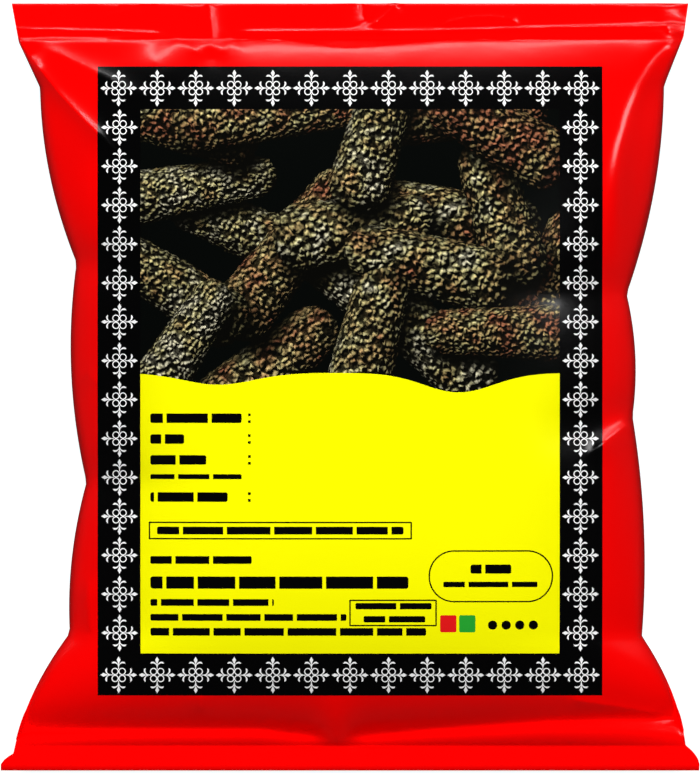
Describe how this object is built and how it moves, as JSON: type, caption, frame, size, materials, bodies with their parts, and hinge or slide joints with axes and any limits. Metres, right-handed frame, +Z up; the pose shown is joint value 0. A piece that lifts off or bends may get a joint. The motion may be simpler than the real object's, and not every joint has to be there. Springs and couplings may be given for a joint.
{
  "type": "sealed pillow packet of dried long pepper",
  "caption": "Heat-sealed pillow packet of printed red film, filled with loose dried long pepper spikes; fin seam on the underside, flat seals at both ends.",
  "frame": {"origin": "middle of the packet's footprint, on the surface it lies on", "axes": "+Z up out of the printed face, +Y along the packet's length to its top seal, +X to the right of the printed face"},
  "size_m": [0.1548, 0.1703, 0.0415],
  "materials": {
    "printed_film": "glossy printed plastic film",
    "dried_spike": "dry, matt, knobbly"
  },
  "bodies": {
    "root": {"pouch_film": "printed_film", "spike_01": "dried_spike", "spike_02": "dried_spike", "spike_03": "dried_spike", "spike_04": "dried_spike", "spike_05": "dried_spike", "spike_06": "dried_spike", "spike_07": "dried_spike", "spike_08": "dried_spike", "spike_09": "dried_spike", "spike_10": "dried_spike", "spike_11": "dried_spike", "spike_12": "dried_spike", "spike_13": "dried_spike", "spike_14": "dried_spike", "spike_15": "dried_spike", "spike_16": "dried_spike", "spike_17": "dried_spike", "spike_18": "dried_spike", "spike_19": "dried_spike", "spike_20": "dried_spike", "spike_21": "dried_spike", "spike_22": "dried_spike", "spike_23": "dried_spike", "spike_24": "dried_spike", "spike_25": "dried_spike", "spike_26": "dried_spike", "spike_27": "dried_spike", "spike_28": "dried_spike", "spike_29": "dried_spike", "spike_30": "dried_spike", "spike_31": "dried_spike", "spike_32": "dried_spike", "spike_33": "dried_spike", "spike_34": "dried_spike", "spike_35": "dried_spike", "spike_36": "dried_spike", "spike_37": "dried_spike", "spike_38": "dried_spike", "spike_39": "dried_spike", "spike_40": "dried_spike"}
  },
  "joints": []
}
